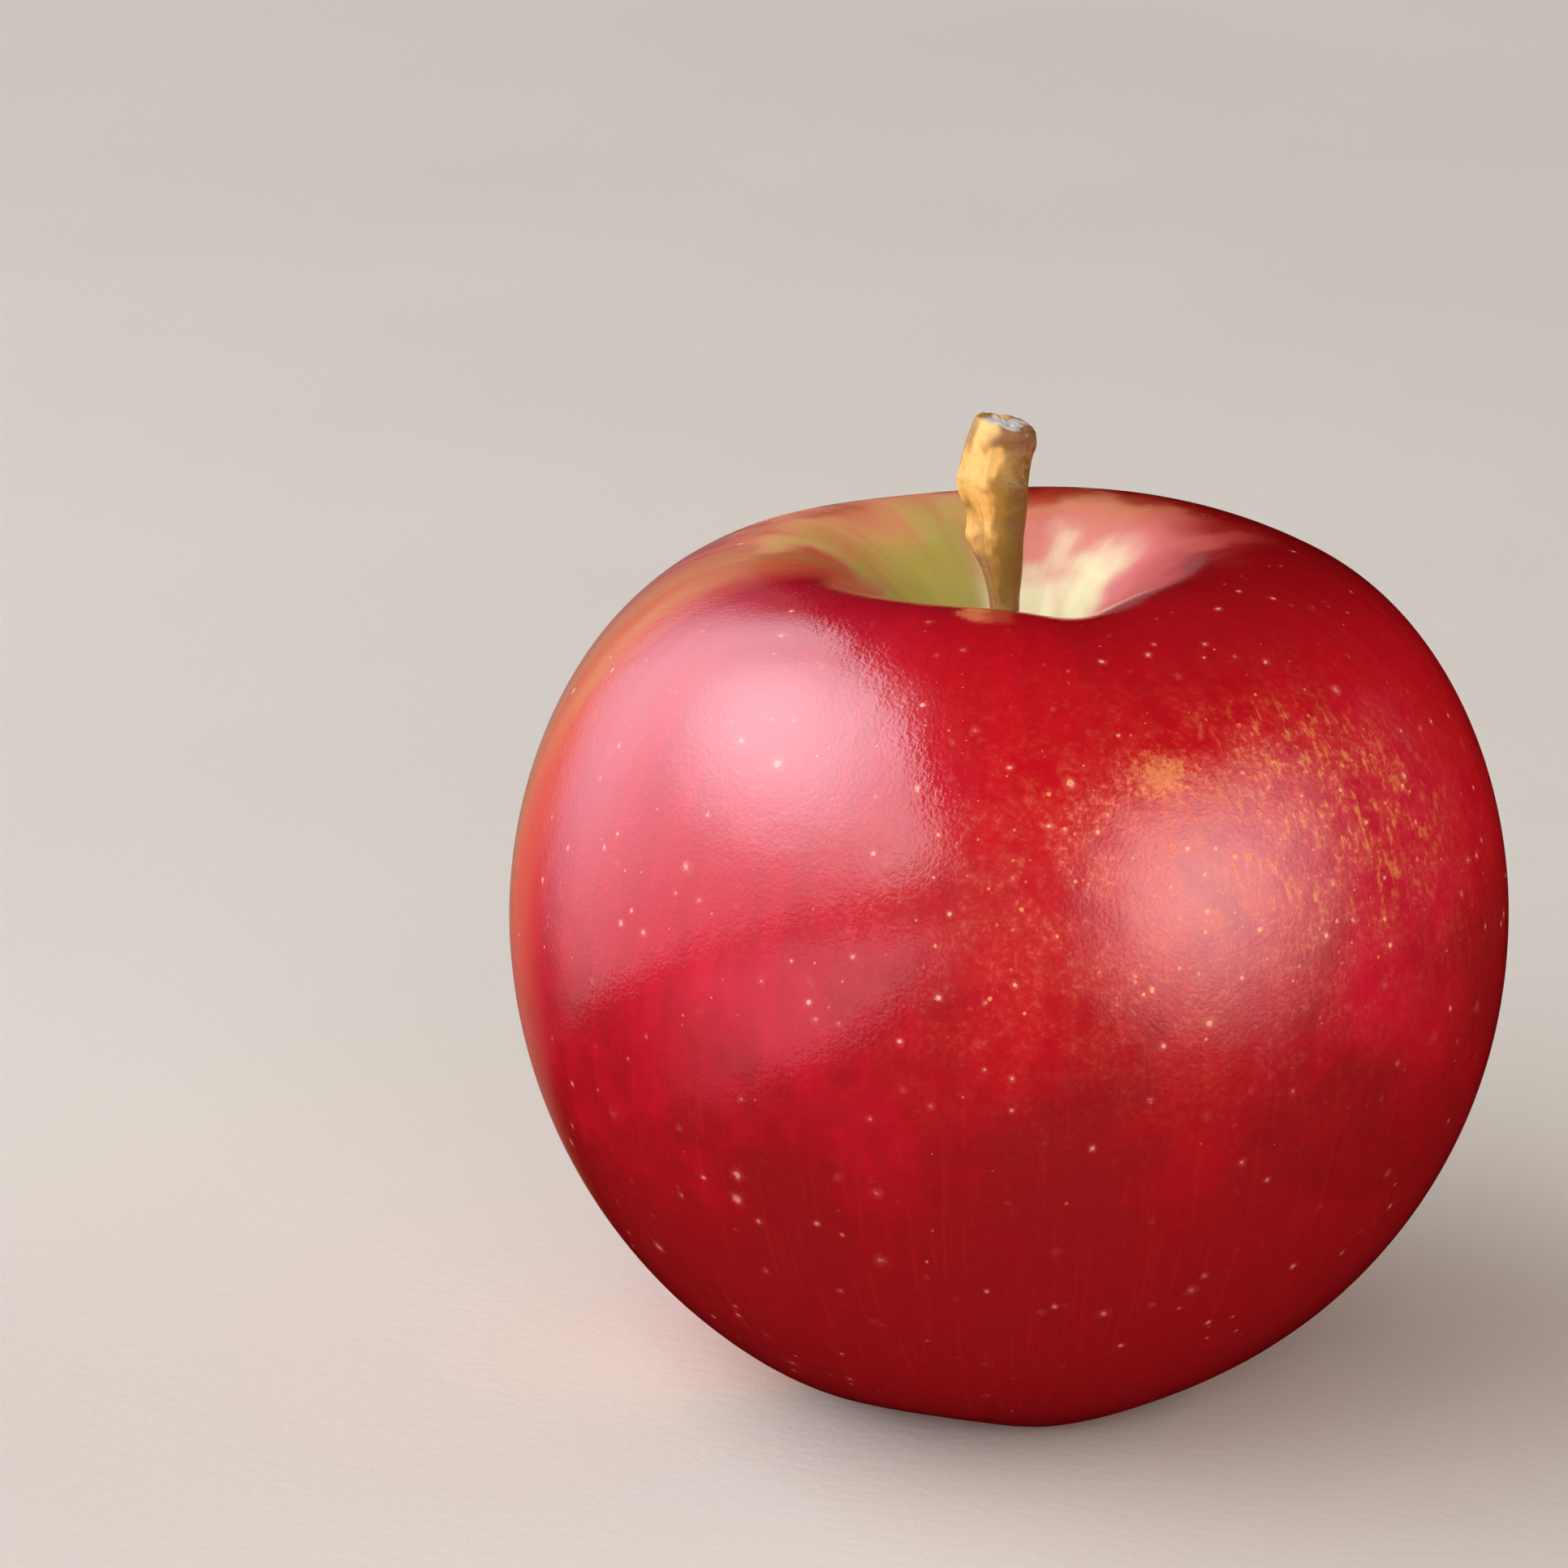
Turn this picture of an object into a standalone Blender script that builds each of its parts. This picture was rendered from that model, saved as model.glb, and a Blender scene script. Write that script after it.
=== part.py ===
"""A ripe apple that stands upright on the five lobes round its calyx.

Units are metres and +Z is up. The origin is on the surface the apple stands on, under the
middle of its widest section. The fruit is one solid. The stem, the five dried sepals and the
tuft of dried stamens are pieces of their own, each with a small gap to the fruit.
"""

import math

import bmesh
import bpy
from mathutils import Matrix, Vector

# The fruit's half section, from the stem socket over the shoulder to the calyx pit
FRUIT_RADIUS = 0.0375
FRUIT_HEIGHT = 0.0645
EQUATOR_HEIGHT = 0.0362
RIM_RADIUS = 0.0172
BASE_RING_RADIUS = 0.0108
CAVITY_DEPTH = 0.0170
SOCKET_DEPTH = 0.0030
BASIN_DEPTH = 0.0075
PIT_DEPTH = 0.0035
PIT_RADIUS = 0.0030
PIT_ROOF_RADIUS = 0.0027
SOCKET_CLEARANCE = 0.0004

# How far each stretch of the section runs on before it turns
CAVITY_NECK = (0.0046, 0.0085)
CAVITY_LIP_REACH = 0.0077
SHOULDER_TOP_REACH = 0.0120
SHOULDER_SIDE_REACH = 0.0141
FLANK_REACH = 0.0239
BASE_OUTER_REACH = 0.0071
BASE_INNER_REACH = 0.0042
BASIN_NECK = (0.0050, 0.0048)

# How the turned shape is varied round its axis
LOBES = 5
FIRST_LOBE = math.radians(-78)
LOBE_HEIGHT = 0.0010
LOBE_RELIEF = 0.0005
LOBE_REACH = 0.0130
LOBE_FADE_POWER = 3
SHOULDER_FADE_POWER = 2
CONTACT_FLAT = 0.00025
DEPTH_OVER_WIDTH = 0.985
SHOULDER_LEAN = 0.0002
LEAN_DIRECTION = math.radians(60)

# Each dip in the shoulder: its direction, its depth and its angular half width
SHOULDER_DIPS = (
    (math.radians(-68), 0.0011, math.radians(17)),
    (math.radians(20), 0.0003, math.radians(24)),
    (math.radians(112), 0.0004, math.radians(26)),
    (math.radians(-155), 0.0003, math.radians(22)),
)

# The stem's stations from its root up: height, offset in X, offset in Y and radius
STEM_STATIONS = (
    (0.0449, 0.0000, 0.0000, 0.00120),
    (0.0500, 0.0001, 0.0000, 0.00110),
    (0.0560, 0.0000, 0.0001, 0.00105),
    (0.0604, -0.0001, 0.0002, 0.00115),
    (0.0624, -0.0002, 0.0003, 0.00140),
    (0.0637, -0.0004, 0.0003, 0.00170),
    (0.0653, -0.0006, 0.0003, 0.00206),
    (0.0670, -0.0005, 0.0004, 0.00217),
    (0.0696, -0.0008, 0.0004, 0.00260),
    (0.0717, -0.0004, 0.0005, 0.00250),
    (0.0740, 0.0001, 0.0005, 0.00228),
)
STEM_SIDES_FACTOR = 2

# A sepal's centre line in its own plane, from its root down and out to its tip: radius, height
# and half width at each station
SEPAL_COUNT = 5
SEPAL_STATIONS = (
    (0.00205, 0.0088, 0.00085),
    (0.00200, 0.0076, 0.00105),
    (0.00205, 0.0064, 0.00115),
    (0.00240, 0.0053, 0.00100),
    (0.00300, 0.0044, 0.00075),
    (0.00380, 0.0038, 0.00040),
    (0.00430, 0.0037, 0.00015),
)
SEPAL_THICKNESS = 0.0004
SEPAL_ACROSS = 4
SEPAL_CUP = 0.00015

# The stamen tuft's section from its root down: radius and height
TUFT_SECTION = (
    (0.0, 0.0106),
    (0.00110, 0.0106),
    (0.00080, 0.0088),
    (0.00085, 0.0072),
    (0.00120, 0.0060),
    (0.00075, 0.0052),
    (0.0, 0.0050),
)
TUFT_FLUTES = 10
TUFT_FLUTE_SHARE = 0.06

# Mesh fineness
FRUIT_AROUND = 60
TUFT_AROUND = 20
CAVITY_STEPS = 12
SHOULDER_STEPS = 12
FLANK_STEPS = 20
BASIN_STEPS = 10
MERGE_DISTANCE = 0.000001

SKIN_RED = (0.47, 0.012, 0.018)
STALK_BROWN = (0.30, 0.17, 0.035)
SEPAL_BROWN = (0.11, 0.075, 0.04)
STAMEN_BROWN = (0.06, 0.035, 0.02)


def clear_scene():
    """Take away whatever the scene holds."""
    for scene_object in list(bpy.data.objects):
        bpy.data.objects.remove(scene_object)


def principled(name, colour, roughness, metallic):
    """A Principled material of one colour."""
    material = bpy.data.materials.new(name)
    material.use_nodes = True
    shader = material.node_tree.nodes["Principled BSDF"]
    shader.inputs["Base Color"].default_value = (*colour, 1.0)
    shader.inputs["Roughness"].default_value = roughness
    shader.inputs["Metallic"].default_value = metallic
    return material


def skin_material():
    """Waxy deep red skin."""
    return principled("apple_skin", SKIN_RED, 0.28, 0.0)


def stalk_material():
    """Ochre brown woody stalk."""
    return principled("stalk", STALK_BROWN, 0.55, 0.0)


def sepal_material():
    """Dry grey-brown sepals."""
    return principled("dry_sepal", SEPAL_BROWN, 0.85, 0.0)


def stamen_material():
    """Dark dry stamens."""
    return principled("dry_stamen", STAMEN_BROWN, 0.9, 0.0)


def smooth_step(value):
    """0 up to 0, 1 from 1 on, and a smooth rise between them."""
    share = min(1.0, max(0.0, value))
    return share * share * (3.0 - 2.0 * share)


def bezier_run(start, start_handle, end_handle, end, steps):
    """Points along one cubic stretch, without its last one."""
    points = []
    for step in range(steps):
        along = step / steps
        back = 1.0 - along
        shares = (back**3, 3 * back * back * along, 3 * back * along * along, along**3)
        corners = (start, start_handle, end_handle, end)
        radius = sum(share * corner[0] for share, corner in zip(shares, corners))
        height = sum(share * corner[1] for share, corner in zip(shares, corners))
        points.append((radius, height))
    return points


def fruit_section():
    """The fruit's half section as radius and height, from the socket's floor to the pit's roof."""
    socket_radius = STEM_STATIONS[0][3] + SOCKET_CLEARANCE
    cavity_floor = FRUIT_HEIGHT - CAVITY_DEPTH
    socket_floor = cavity_floor - SOCKET_DEPTH
    pit_roof = BASIN_DEPTH + PIT_DEPTH
    socket = (socket_radius, cavity_floor)
    rim = (RIM_RADIUS, FRUIT_HEIGHT)
    equator = (FRUIT_RADIUS, EQUATOR_HEIGHT)
    base_ring = (BASE_RING_RADIUS, 0.0)
    pit_mouth = (PIT_RADIUS, BASIN_DEPTH)

    points = [(0.0, socket_floor), (socket_radius, socket_floor)]
    points += bezier_run(
        socket,
        (CAVITY_NECK[0], cavity_floor + CAVITY_NECK[1]),
        (RIM_RADIUS - CAVITY_LIP_REACH, FRUIT_HEIGHT),
        rim,
        CAVITY_STEPS,
    )
    points += bezier_run(
        rim,
        (RIM_RADIUS + SHOULDER_TOP_REACH, FRUIT_HEIGHT),
        (FRUIT_RADIUS, EQUATOR_HEIGHT + SHOULDER_SIDE_REACH),
        equator,
        SHOULDER_STEPS,
    )
    points += bezier_run(
        equator,
        (FRUIT_RADIUS, EQUATOR_HEIGHT - FLANK_REACH),
        (BASE_RING_RADIUS + BASE_OUTER_REACH, 0.0),
        base_ring,
        FLANK_STEPS,
    )
    points += bezier_run(
        base_ring,
        (BASE_RING_RADIUS - BASE_INNER_REACH, 0.0),
        BASIN_NECK,
        pit_mouth,
        BASIN_STEPS,
    )
    points += [pit_mouth, (PIT_ROOF_RADIUS, pit_roof), (0.0, pit_roof)]
    return points


def angle_between(first, second):
    """The size of the smaller angle between two directions."""
    return abs((first - second + math.pi) % (2 * math.pi) - math.pi)


def shoulder_change(direction):
    """How far the shoulder rises or dips in a direction."""
    change = SHOULDER_LEAN * math.cos(direction - LEAN_DIRECTION)
    for middle, depth, half_width in SHOULDER_DIPS:
        distance = angle_between(direction, middle) / half_width
        change -= depth * math.exp(-distance * distance)
    return change


def grown(point):
    """A point of the turned shape, moved to where the grown fruit has it."""
    radius = math.hypot(point.x, point.y)
    if radius < PIT_RADIUS:
        return point.copy()
    direction = math.atan2(point.y, point.x)
    clear_of_core = smooth_step((radius - PIT_RADIUS) / (BASE_RING_RADIUS - PIT_RADIUS))
    below = max(0.0, 1.0 - point.z / EQUATOR_HEIGHT)
    above = max(0.0, (point.z - EQUATOR_HEIGHT) / (FRUIT_HEIGHT - EQUATOR_HEIGHT))

    valley = 0.5 - 0.5 * math.cos(LOBES * (direction - FIRST_LOBE))
    near_ring = 1.0 - smooth_step((radius - BASE_RING_RADIUS) / LOBE_REACH)
    low_down = below**LOBE_FADE_POWER
    high_up = above**SHOULDER_FADE_POWER
    height = point.z + LOBE_HEIGHT * valley * low_down * clear_of_core * near_ring
    height += shoulder_change(direction) * high_up * clear_of_core
    if below > 0.0:
        height = max(0.0, height - CONTACT_FLAT * low_down)
    grown_radius = radius - LOBE_RELIEF * valley * below * clear_of_core
    depth_share = 1.0 - (1.0 - DEPTH_OVER_WIDTH) * clear_of_core
    return Vector(
        (
            grown_radius * math.cos(direction),
            grown_radius * math.sin(direction) * depth_share,
            height,
        )
    )


def turned(section, steps):
    """A closed bmesh, turned about Z from a section that starts and ends on the axis."""
    shape = bmesh.new()
    vertices = [shape.verts.new((radius, 0.0, height)) for radius, height in section]
    edges = [shape.edges.new(pair) for pair in zip(vertices, vertices[1:])]
    bmesh.ops.spin(
        shape,
        geom=vertices + edges,
        cent=(0.0, 0.0, 0.0),
        axis=(0.0, 0.0, 1.0),
        angle=2 * math.pi,
        steps=steps,
        use_merge=True,
    )
    bmesh.ops.remove_doubles(shape, verts=shape.verts, dist=MERGE_DISTANCE)
    bmesh.ops.recalc_face_normals(shape, faces=shape.faces)
    return shape


def add_object(name, shape, material):
    """An object made from a bmesh, shaded smooth."""
    mesh = bpy.data.meshes.new(name)
    shape.to_mesh(mesh)
    shape.free()
    mesh.materials.append(material)
    mesh.shade_smooth()
    scene_object = bpy.data.objects.new(name, mesh)
    bpy.context.scene.collection.objects.link(scene_object)
    return scene_object


def build_fruit():
    """Flesh and skin as one solid, with the stem cavity, the calyx basin and the basal lobes."""
    shape = turned(fruit_section(), FRUIT_AROUND)
    for vertex in shape.verts:
        vertex.co = grown(vertex.co)
    return add_object("fruit", shape, skin_material())


def build_stem():
    """The woody stalk, narrow in the socket and swollen towards its cut end."""
    curve = bpy.data.curves.new("stem", "CURVE")
    curve.dimensions = "3D"
    curve.bevel_depth = 1.0
    curve.bevel_resolution = STEM_SIDES_FACTOR
    curve.use_fill_caps = True
    spline = curve.splines.new("POLY")
    spline.points.add(len(STEM_STATIONS) - 1)
    for point, (height, offset_x, offset_y, radius) in zip(spline.points, STEM_STATIONS):
        point.co = (offset_x, offset_y, height, 1.0)
        point.radius = radius
    curve.materials.append(stalk_material())
    stem = bpy.data.objects.new("stem", curve)
    bpy.context.scene.collection.objects.link(stem)
    return stem


def sepal_surface():
    """A bmesh of one sepal's outer face, cupped across and standing over +X."""
    shape = bmesh.new()
    rows = []
    for radius, height, half_width in SEPAL_STATIONS:
        row = []
        for column in range(SEPAL_ACROSS + 1):
            across = 2.0 * column / SEPAL_ACROSS - 1.0
            cup = SEPAL_CUP * across * across * half_width / SEPAL_STATIONS[0][2]
            row.append(shape.verts.new((radius - cup, across * half_width, height)))
        rows.append(row)
    for upper, lower in zip(rows, rows[1:]):
        for column in range(SEPAL_ACROSS):
            shape.faces.new((upper[column], upper[column + 1], lower[column + 1], lower[column]))
    bmesh.ops.recalc_face_normals(shape, faces=shape.faces)
    return shape


def build_sepals():
    """Five dried sepals round the eye, one object each."""
    material = sepal_material()
    sepals = []
    for number in range(SEPAL_COUNT):
        sepal = add_object(f"sepal_{number + 1}", sepal_surface(), material)
        turn = 2 * math.pi * number / SEPAL_COUNT + math.pi / 2
        sepal.matrix_world = Matrix.Rotation(turn, 4, "Z")
        thickness = sepal.modifiers.new("thickness", "SOLIDIFY")
        thickness.thickness = SEPAL_THICKNESS
        thickness.offset = 0.0
        sepals.append(sepal)
    return sepals


def build_stamen_tuft():
    """The dried stamens and styles, one fluted tuft in the middle of the eye."""
    shape = turned(TUFT_SECTION, TUFT_AROUND)
    for vertex in shape.verts:
        direction = math.atan2(vertex.co.y, vertex.co.x)
        flute = 1.0 + TUFT_FLUTE_SHARE * (math.cos(TUFT_FLUTES * direction) - 1.0)
        vertex.co.x *= flute
        vertex.co.y *= flute
    return add_object("stamen_tuft", shape, stamen_material())


def build():
    """Model the whole apple."""
    clear_scene()
    build_fruit()
    build_stem()
    build_sepals()
    build_stamen_tuft()


build()
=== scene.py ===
import math
from collections import namedtuple

import bpy
import numpy as np
from bpy.props import FloatProperty, FloatVectorProperty, IntProperty, PointerProperty
from mathutils import Matrix, Quaternion, Vector


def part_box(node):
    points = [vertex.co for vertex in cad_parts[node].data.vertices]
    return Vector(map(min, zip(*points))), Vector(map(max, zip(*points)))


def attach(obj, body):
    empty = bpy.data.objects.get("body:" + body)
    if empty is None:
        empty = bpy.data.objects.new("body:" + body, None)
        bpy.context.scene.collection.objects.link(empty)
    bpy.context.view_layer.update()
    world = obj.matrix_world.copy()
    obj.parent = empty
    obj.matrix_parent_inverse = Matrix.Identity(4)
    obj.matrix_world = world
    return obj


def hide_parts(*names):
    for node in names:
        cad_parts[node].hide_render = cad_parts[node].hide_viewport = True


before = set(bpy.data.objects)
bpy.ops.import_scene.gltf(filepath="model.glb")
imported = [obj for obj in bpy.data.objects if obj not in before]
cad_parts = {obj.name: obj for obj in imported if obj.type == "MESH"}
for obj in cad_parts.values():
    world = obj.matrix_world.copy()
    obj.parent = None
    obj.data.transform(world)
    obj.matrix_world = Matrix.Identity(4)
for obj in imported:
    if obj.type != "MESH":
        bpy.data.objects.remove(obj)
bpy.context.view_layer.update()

bl_info = {
    "name": "Red Apple",
    "version": (1, 0, 0),
    "blender": (4, 5, 0),
    "location": "View3D > Sidebar > Apple",
    "description": "Finishes a packed apple: skin, stalk, dried calyx and a plain studio",
    "category": "Add Mesh",
}

FRUIT_LOW, FRUIT_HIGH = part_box("fruit")
STALK_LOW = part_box("stem")[0]
STAMEN_LOW, STAMEN_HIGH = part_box("stamen_tuft")
SEPAL_NODES = ["sepal_1", "sepal_2", "sepal_3", "sepal_4", "sepal_5"]

# Lengths below are in millimetres of a fruit 75 mm wide. MM turns them into metres of this one.
MODEL_RADIUS = 37.5
MM = (FRUIT_HIGH.x - FRUIT_LOW.x) / 2 / MODEL_RADIUS
FRONT = math.radians(-90)
FULL_TURN = 2 * math.pi


# --- Settings ---

def length(name, description, millimetres):
    """A length setting, whose default is given in model millimetres."""
    return FloatProperty(
        name=name, description=description, default=millimetres * MM, unit="LENGTH",
        subtype="DISTANCE", precision=5)


def colour(name, description, value):
    """A linear colour setting."""
    return FloatVectorProperty(
        name=name, description=description, default=value, subtype="COLOR", size=3,
        min=0, max=1)


class AppleSizes(bpy.types.PropertyGroup):
    """Sizes of the fruit and of its small parts."""

    fruit_radius: length("Fruit radius", "Widest radius of the fruit", MODEL_RADIUS)
    fruit_height: length("Rim height", "Height of the rim round the stem cavity", 64.5)
    equator_height: length("Equator height", "Height of the widest ring", 36.2)
    rim_radius: length("Rim radius", "Radius of the highest ring of the shoulder", 17.2)
    cavity_depth: length("Cavity depth", "Depth of the stem cavity below the rim", 17)
    base_ring_radius: length("Base ring radius", "Radius of the ring it stands on", 10.8)
    basin_depth: length("Basin depth", "Depth of the hollow round the calyx", 7.5)
    pit_depth: length("Pit depth", "Depth of the calyx tube above the basin", 3.5)
    fold_depth: length("Fold depth", "Depth of the puckers round the stalk", 0.22)
    dent_depth: length("Dent depth", "Depth of the wide, soft dents of the flank", 0.16)
    pebble_size: length("Pebble size", "Width of one bump of the skin", 0.34)
    pebble_height: length("Pebble height", "Height of one bump of the skin", 0.01)
    around: IntProperty(
        name="Points round", description="Points in one ring of the skin", default=400,
        min=64, max=512)
    stamens: IntProperty(
        name="Stamens", description="Dried stamens left in the calyx", default=22, min=3,
        max=60)


class AppleColours(bpy.types.PropertyGroup):
    """Colours of the skin and of its small parts."""

    ripe_red: colour("Ripe red", "Skin of the shoulder and flank", (0.46, 0.004, 0.01))
    crimson: colour("Crimson", "Skin of the left front", (0.5, 0.006, 0.026))
    salmon: colour("Salmon", "Thinly coloured skin of the shaded side", (0.72, 0.115, 0.06))
    shade_tan: colour("Shade tan", "Streaks where the shaded skin is least coloured",
                      (0.6, 0.27, 0.09))
    # Wine red is partly painted shade, laid towards the base and on the right of the shoulder; it
    # also darkens broad streaks.
    wine_red: colour("Wine red", "Skin towards the base", (0.22, 0.004, 0.006))
    streak_red: colour("Streak red", "Fine upright streaks", (0.58, 0.02, 0.018))
    cavity_green: colour("Cavity green", "Cavity on the shaded side", (0.42, 0.36, 0.045))
    cavity_cream: colour("Cavity cream", "Cavity near the stalk", (0.86, 0.78, 0.44))
    cavity_rose: colour("Cavity rose", "Cavity towards the ripe side", (0.6, 0.085, 0.085))
    cavity_coral: colour("Cavity coral", "Cavity just inside the rim", (0.47, 0.035, 0.028))
    cavity_tan: colour("Cavity tan", "Shaded rim of the cavity", (0.76, 0.31, 0.13))
    cavity_orange: colour("Cavity orange", "Streaks that run into the cavity", (0.55, 0.09, 0.04))
    halo_pink: colour("Halo pink", "Pale ring round a pore", (0.62, 0.1, 0.09))
    pore_cream: colour("Pore cream", "Corky dot of a pore", (0.86, 0.38, 0.27))
    pore_orange: colour("Pore orange", "Corky dot of a pore in russet", (0.86, 0.37, 0.12))
    pore_brown: colour("Pore brown", "Dead heart of a large pore", (0.3, 0.12, 0.05))
    russet_pink: colour("Russet pink", "Soft veil of russet", (0.66, 0.085, 0.055))
    russet_rose: colour("Russet rose", "Fine pale web of russet", (0.84, 0.23, 0.09))
    russet_orange: colour("Russet orange", "Corky patch and flecks", (0.8, 0.28, 0.07))
    basin_olive: colour("Basin olive", "Skin round the calyx", (0.28, 0.17, 0.04))
    # Gold on the stalk's left and olive and brown on its right are partly painted light and shade.
    stalk_gold: colour("Stalk gold", "Ripe side of the stalk", (0.86, 0.48, 0.12))
    stalk_ochre: colour("Stalk ochre", "Front of the stalk", (0.36, 0.185, 0.028))
    stalk_olive: colour("Stalk olive", "Lower and right parts of the stalk", (0.19, 0.105, 0.01))
    stalk_brown: colour("Stalk brown", "Shaded side of the stalk", (0.2, 0.065, 0.012))
    stalk_rose: colour("Stalk rose", "Scars and nodules", (0.44, 0.23, 0.11))
    stalk_pith: colour("Stalk pith", "Broken end of the stalk", (0.58, 0.53, 0.5))
    calyx_brown: colour("Calyx brown", "Dried sepals", (0.13, 0.075, 0.035))
    calyx_grey: colour("Calyx grey", "Down on the sepals", (0.33, 0.29, 0.21))
    stamen_brown: colour("Stamen brown", "Dried stamens", (0.075, 0.036, 0.016))
    floor_tone: colour("Floor", "Plain studio floor", (0.72, 0.68, 0.63))


# --- Mesh helpers ---

def smooth_step(x):
    """0 below 0, 1 above 1 and an even ease between."""
    x = np.clip(x, 0, 1)
    return x * x * (3 - 2 * x)


def turned_from(direction, middle):
    """How far a direction is turned from another, between half a turn back and on."""
    return (direction - middle + math.pi) % FULL_TURN - math.pi


def bump_at(direction, middle, half_width):
    """A smooth hill over directions, 1 at its middle."""
    return np.exp(-(turned_from(direction, middle) / half_width) ** 2)


def bezier(start, control_a, control_b, end, count):
    """Points along a cubic curve, without its last one."""
    t = np.linspace(0, 1, count, endpoint=False)[:, None]
    s = 1 - t
    corners = [np.array(p, float) for p in (start, control_a, control_b, end)]
    return (s ** 3 * corners[0] + 3 * s * s * t * corners[1]
            + 3 * s * t * t * corners[2] + t ** 3 * corners[3])


def new_piece(name, points, faces, attributes, material):
    """A smooth shaded mesh object, with point attributes given as arrays."""
    mesh = bpy.data.meshes.new(name)
    mesh.from_pydata(points.tolist(), [], faces)
    mesh.shade_smooth()
    for key, values in attributes.items():
        kind, field = ("FLOAT", "value") if values.ndim == 1 else ("FLOAT_VECTOR", "vector")
        layer = mesh.attributes.new(key, kind, "POINT")
        layer.data.foreach_set(field, values.astype(np.float32).ravel())
    mesh.validate()
    mesh.materials.append(material)
    piece = bpy.data.objects.new(name, mesh)
    bpy.context.scene.collection.objects.link(piece)
    return piece


def grid(x, y, z):
    """Rings of points from three grids, any of which may be one row or one column."""
    return np.stack(np.broadcast_arrays(x, y, z), axis=2)


def neighbours(around):
    """Each number of a ring with the next one."""
    return [(i, (i + 1) % around) for i in range(around)]


def ring_faces(rings, around):
    """Quads between rings of points, with the order that faces outwards for rising rings."""
    return [(here + i, here + j, here + around + j, here + around + i)
            for here in range(0, (rings - 1) * around, around) for i, j in neighbours(around)]


def capped_tube(rings, values):
    """Points, faces and point attributes of a closed tube through rings of points."""
    count, around = rings.shape[:2]

    def with_ends(value):
        value = np.broadcast_to(value, (count, around, *value.shape[2:]))
        ends = [value[0].mean(0), value[-1].mean(0)]
        return np.concatenate([value.reshape(-1, *value.shape[2:]), ends])

    start, finish = count * around, count * around + 1
    last = (count - 1) * around
    faces = ring_faces(count, around)
    for i, j in neighbours(around):
        faces += [(start, j, i), (finish, last + i, last + j)]
    return with_ends(rings), faces, {key: with_ends(value) for key, value in values.items()}


def through(stations, count):
    """A smooth path through rows of numbers, evenly spaced in their order."""
    rows = np.array(stations, float)
    padded = np.concatenate([2 * rows[:1] - rows[1:2], rows, 2 * rows[-1:] - rows[-2:-1]])
    at = np.linspace(0, len(rows) - 1, count)
    left = np.minimum(at.astype(int), len(rows) - 2)
    t = (at - left)[:, None]
    a, b, c, d = (padded[left + k] for k in range(4))
    return b + 0.5 * t * (c - a + t * (2 * a - 5 * b + 4 * c - d + t * (3 * (b - c) + d - a)))


# --- Fruit ---

SOCKET_RADIUS = 1.35
SOCKET_DEPTH = 3
CAVITY_NECK = (4.6, 8.5)
CAVITY_LIP_REACH = 7.7
SHOULDER_TOP_REACH = 12
SHOULDER_SIDE_REACH = 14.1
FLANK_REACH = 23.9
BASE_OUTER_REACH = 7.1
BASE_INNER_REACH = 4.2
BASIN_NECK = (5, 4.8)
PIT_RADIUS = 3
PIT_ROOF_RADIUS = 2.7
# Points of the section past the ring that the fruit stands on.
POINTS_PAST_STAND = 35
SKIN_IOR = 1.6

LOBES = 5
FIRST_LOBE = math.radians(-78)
LOBE_HEIGHT = 1
LOBE_RELIEF = 0.5
LOBE_REACH = 13
CONTACT_FLAT = 0.25
DEPTH_OVER_WIDTH = 0.985
SHOULDER_LEAN = 0.2
LEAN_TOWARDS = math.radians(60)
# Each dip of the shoulder: direction in degrees, depth in millimetres, half width in degrees.
SHOULDER_DIPS = ((-68, 1.1, 17), (20, 0.3, 24), (112, 0.4, 26), (-155, 0.3, 22))
# Puckers round the stalk and soft dents of the flank: waves round the fruit, share of the depth.
CAVITY_FOLDS = ((5, 0.7), (8, 0.6), (13, 0.45), (21, 0.25))
FLANK_DENTS = ((2, 0.5), (3, 0.6), (5, 0.4), (7, 0.25))
FACETS = ((17, 0.07), (26, 0.05), (41, 0.03))
# How far from the rim and from the base ring the dents reach their full depth.
DENTS_FADE_IN = 12
DENTS_FADE_OUT = 16


def fruit_section(sizes):
    """Half section as rows of radius and height, from the socket out and down to the calyx."""
    rim, high, wide, middle, stand, cavity, basin, pit = (size / MM for size in (
        sizes.rim_radius, sizes.fruit_height, sizes.fruit_radius, sizes.equator_height,
        sizes.base_ring_radius, sizes.cavity_depth, sizes.basin_depth, sizes.pit_depth))
    floor = high - cavity
    roof = basin + pit
    socket = SOCKET_RADIUS
    bottom = floor - SOCKET_DEPTH
    spans = [
        bezier((0.3, bottom), (0.7, bottom), (socket, bottom), (socket, bottom + 0.3), 5),
        bezier((socket, bottom + 0.3), (socket, bottom + 1), (socket, floor - 0.6),
               (socket, floor), 6),
        bezier((socket, floor), (CAVITY_NECK[0], floor + CAVITY_NECK[1]),
               (rim - CAVITY_LIP_REACH, high), (rim, high), 62),
        bezier((rim, high), (rim + SHOULDER_TOP_REACH, high),
               (wide, middle + SHOULDER_SIDE_REACH), (wide, middle), 66),
        bezier((wide, middle), (wide, middle - FLANK_REACH), (stand + BASE_OUTER_REACH, 0),
               (stand, 0), 70),
        bezier((stand, 0), (stand - BASE_INNER_REACH, 0), BASIN_NECK, (PIT_RADIUS, basin), 22),
        bezier((PIT_RADIUS, basin), (PIT_RADIUS, roof - 2), (PIT_ROOF_RADIUS, roof - 1),
               (PIT_ROOF_RADIUS, roof - 0.4), 7),
        bezier((PIT_ROOF_RADIUS, roof - 0.4), (PIT_ROOF_RADIUS, roof), (2, roof), (0.3, roof), 6),
    ]
    return np.concatenate(spans) * MM


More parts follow.
